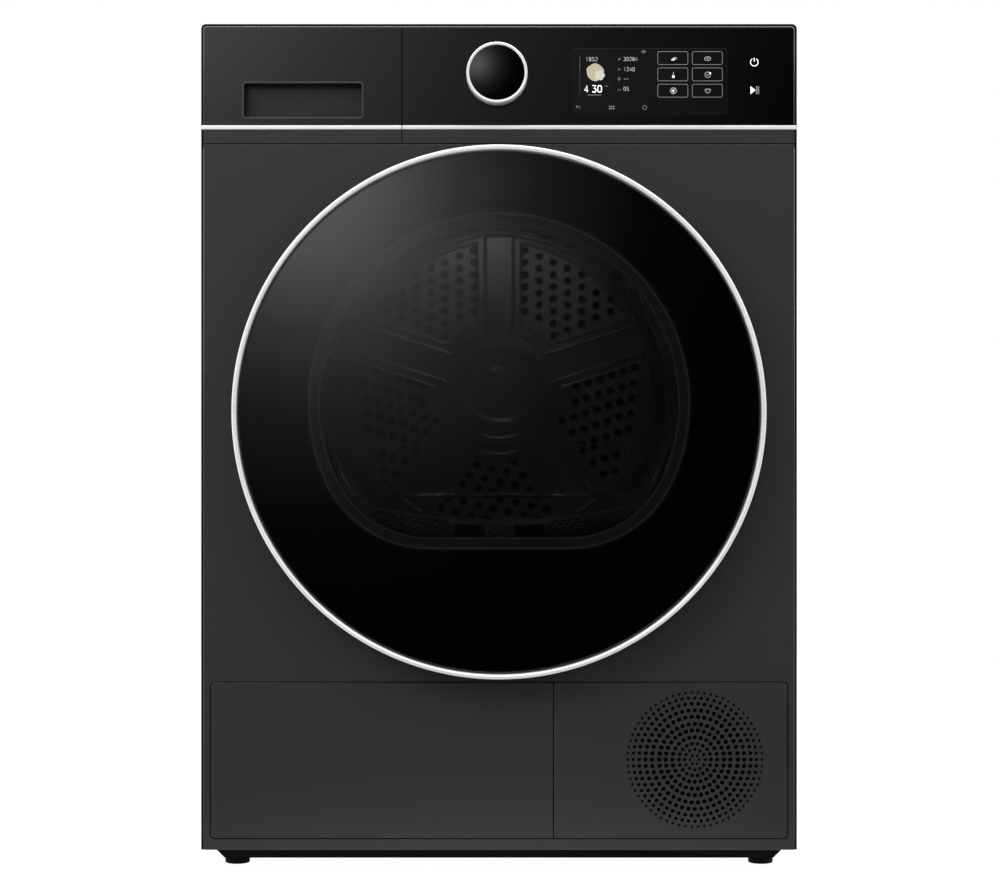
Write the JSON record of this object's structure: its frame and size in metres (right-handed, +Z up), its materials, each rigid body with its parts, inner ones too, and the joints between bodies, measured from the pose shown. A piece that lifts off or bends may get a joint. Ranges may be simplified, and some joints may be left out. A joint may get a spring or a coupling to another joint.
{
  "type": "clothes dryer",
  "caption": "Full-size front-loading heat-pump clothes dryer with a round glass door, a water-tank drawer, a control knob, a lint filter and levelling feet.",
  "frame": {"origin": "on the floor, under the middle of the whole appliance's box", "axes": "+Z up, the door faces -Y, +X to the right as seen from the front"},
  "size_m": [0.595, 0.655, 0.845],
  "materials": {
    "body_grey": "satin dark grey powder coat",
    "gloss_black": "high gloss black",
    "display_glass": "black printed glass",
    "chrome_trim": "polished",
    "door_glass": "dark tinted",
    "bowl_glass": "clear moulded",
    "black_plastic": "fine grained black",
    "light_plastic": "moulded light grey",
    "rubber_black": "matt",
    "stainless": "polished stainless",
    "zinc_steel": "zinc plated",
    "black_steel": "black paint",
    "aluminium_fins": "mill finish",
    "copper_pipe": "bright copper",
    "circuit_board": "solder mask",
    "felt": "wool felt",
    "lock_blue": "blue moulding"
  },
  "bodies": {
    "root": {"base_tray": "black_plastic", "left_side_panel": "body_grey", "right_side_panel": "body_grey", "rear_panel": "body_grey", "rear_duct_cover": "body_grey", "worktop": "body_grey", "front_panel": "body_grey", "front_shield": "light_plastic", "rear_shield": "zinc_steel", "felt_seal": "felt", "control_fascia": "gloss_black", "control_trim": "chrome_trim", "control_band": "body_grey", "display_window": "display_glass", "control_board": "circuit_board", "tank_housing": "light_plastic", "motor_housing": "zinc_steel", "drive_belt": "rubber_black", "fan_scroll": "light_plastic", "compressor": "black_steel", "evaporator": "aluminium_fins", "condenser": "aluminium_fins", "refrigerant_pipes": "copper_pipe", "exchanger_cover": "black_plastic", "sump_pump": "black_plastic", "drain_hose": "rubber_black", "drain_spigot": "black_plastic", "cable_gland": "black_plastic", "grille_panel": "body_grey", "hinge_bracket": "zinc_steel", "door_catch": "light_plastic", "case_screws": "zinc_steel", "moisture_sensor": "stainless"},
    "door": {"door_frame": "black_plastic", "door_trim_ring": "chrome_trim", "door_glass": "door_glass", "door_bowl": "bowl_glass", "door_hook": "black_plastic", "hinge_leaf": "zinc_steel"},
    "drum": {"drum_shell": "stainless", "drum_back": "stainless", "drum_lifters": "light_plastic"},
    "roller_left": {"front_roller_left": "rubber_black"},
    "roller_right": {"front_roller_right": "rubber_black"},
    "rotor": {"motor_rotor": "zinc_steel", "process_fan": "light_plastic"},
    "idler_lever": {"idler_arm": "zinc_steel"},
    "idler_pulley": {"idler_wheel": "light_plastic"},
    "knob": {"knob": "gloss_black"},
    "vent_fan": {"cooling_fan": "black_plastic"},
    "tank": {"tank_front": "gloss_black", "tank_trim": "chrome_trim", "tank_body": "light_plastic"},
    "filter": {"lint_filter": "black_plastic"},
    "flap": {"service_flap": "body_grey"},
    "lock": {"cover_lock": "lock_blue"},
    "foot_front_left": {"foot_front_left": "black_plastic"},
    "foot_front_right": {"foot_front_right": "black_plastic"},
    "foot_rear_left": {"foot_rear_left": "black_plastic"},
    "foot_rear_right": {"foot_rear_right": "black_plastic"}
  },
  "joints": [
    {"name": "door_swing", "type": "hinge", "parent": "root", "child": "door", "pos_m": [0.255, -0.301, 0.457], "axis": [0, 0, 1], "range_deg": [0, 110]},
    {"name": "drum_spin", "type": "hinge", "parent": "root", "child": "drum", "pos_m": [0, 0, 0.4976], "axis": [0, 1, 0], "continuous": true},
    {"name": "roller_left_spin", "type": "hinge", "parent": "root", "child": "roller_left", "pos_m": [-0.17798, -0.193, 0.24342], "axis": [0, 1, 0], "continuous": true},
    {"name": "roller_right_spin", "type": "hinge", "parent": "root", "child": "roller_right", "pos_m": [0.17798, -0.193, 0.24342], "axis": [0, 1, 0], "continuous": true},
    {"name": "motor_spin", "type": "hinge", "parent": "root", "child": "rotor", "pos_m": [0.19, 0.15, 0.112], "axis": [0, 1, 0], "continuous": true},
    {"name": "idler_swing", "type": "hinge", "parent": "root", "child": "idler_lever", "pos_m": [0.14, 0.089, 0.052], "axis": [0, -1, 0], "range_deg": [0, 10], "stiffness_Nm_per_rad": 2, "springref_deg": -17.19},
    {"name": "idler_spin", "type": "hinge", "parent": "idler_lever", "child": "idler_pulley", "pos_m": [0.11487, 0.0795, 0.11616], "axis": [0, 1, 0], "continuous": true},
    {"name": "knob_turn", "type": "hinge", "parent": "root", "child": "knob", "pos_m": [-0.002, -0.2925, 0.794], "axis": [0, -1, 0], "continuous": true},
    {"name": "vent_fan_spin", "type": "hinge", "parent": "root", "child": "vent_fan", "pos_m": [0.1939, -0.2545, 0.1102], "axis": [0, 1, 0], "continuous": true},
    {"name": "tank_slide", "type": "slide", "parent": "root", "child": "tank", "axis": [0, -1, 0], "range_m": [0, 0.4]},
    {"name": "filter_lift", "type": "slide", "parent": "root", "child": "filter", "axis": [0, 0, 1], "range_m": [0, 0.035]},
    {"name": "flap_swing", "type": "hinge", "parent": "root", "child": "flap", "pos_m": [-0.1175, -0.2745, 0.044], "axis": [1, 0, 0], "range_deg": [0, 88]},
    {"name": "lock_turn", "type": "hinge", "parent": "root", "child": "lock", "pos_m": [-0.12, -0.256, 0.113], "axis": [0, 1, 0], "range_deg": [0, 90]},
    {"name": "foot_front_left_screw", "type": "slide", "parent": "root", "child": "foot_front_left", "axis": [0, 0, -1], "range_m": [0, 0.01]},
    {"name": "foot_front_right_screw", "type": "slide", "parent": "root", "child": "foot_front_right", "axis": [0, 0, -1], "range_m": [0, 0.01]},
    {"name": "foot_rear_left_screw", "type": "slide", "parent": "root", "child": "foot_rear_left", "axis": [0, 0, -1], "range_m": [0, 0.01]},
    {"name": "foot_rear_right_screw", "type": "slide", "parent": "root", "child": "foot_rear_right", "axis": [0, 0, -1], "range_m": [0, 0.01]}
  ],
  "couplings": [
    {"joint": "motor_spin", "follows": "drum_spin", "ratio": 27.311},
    {"joint": "roller_left_spin", "follows": "drum_spin", "ratio": -9.3333},
    {"joint": "roller_right_spin", "follows": "drum_spin", "ratio": -9.3333},
    {"joint": "idler_spin", "follows": "drum_spin", "ratio": -17.644}
  ]
}
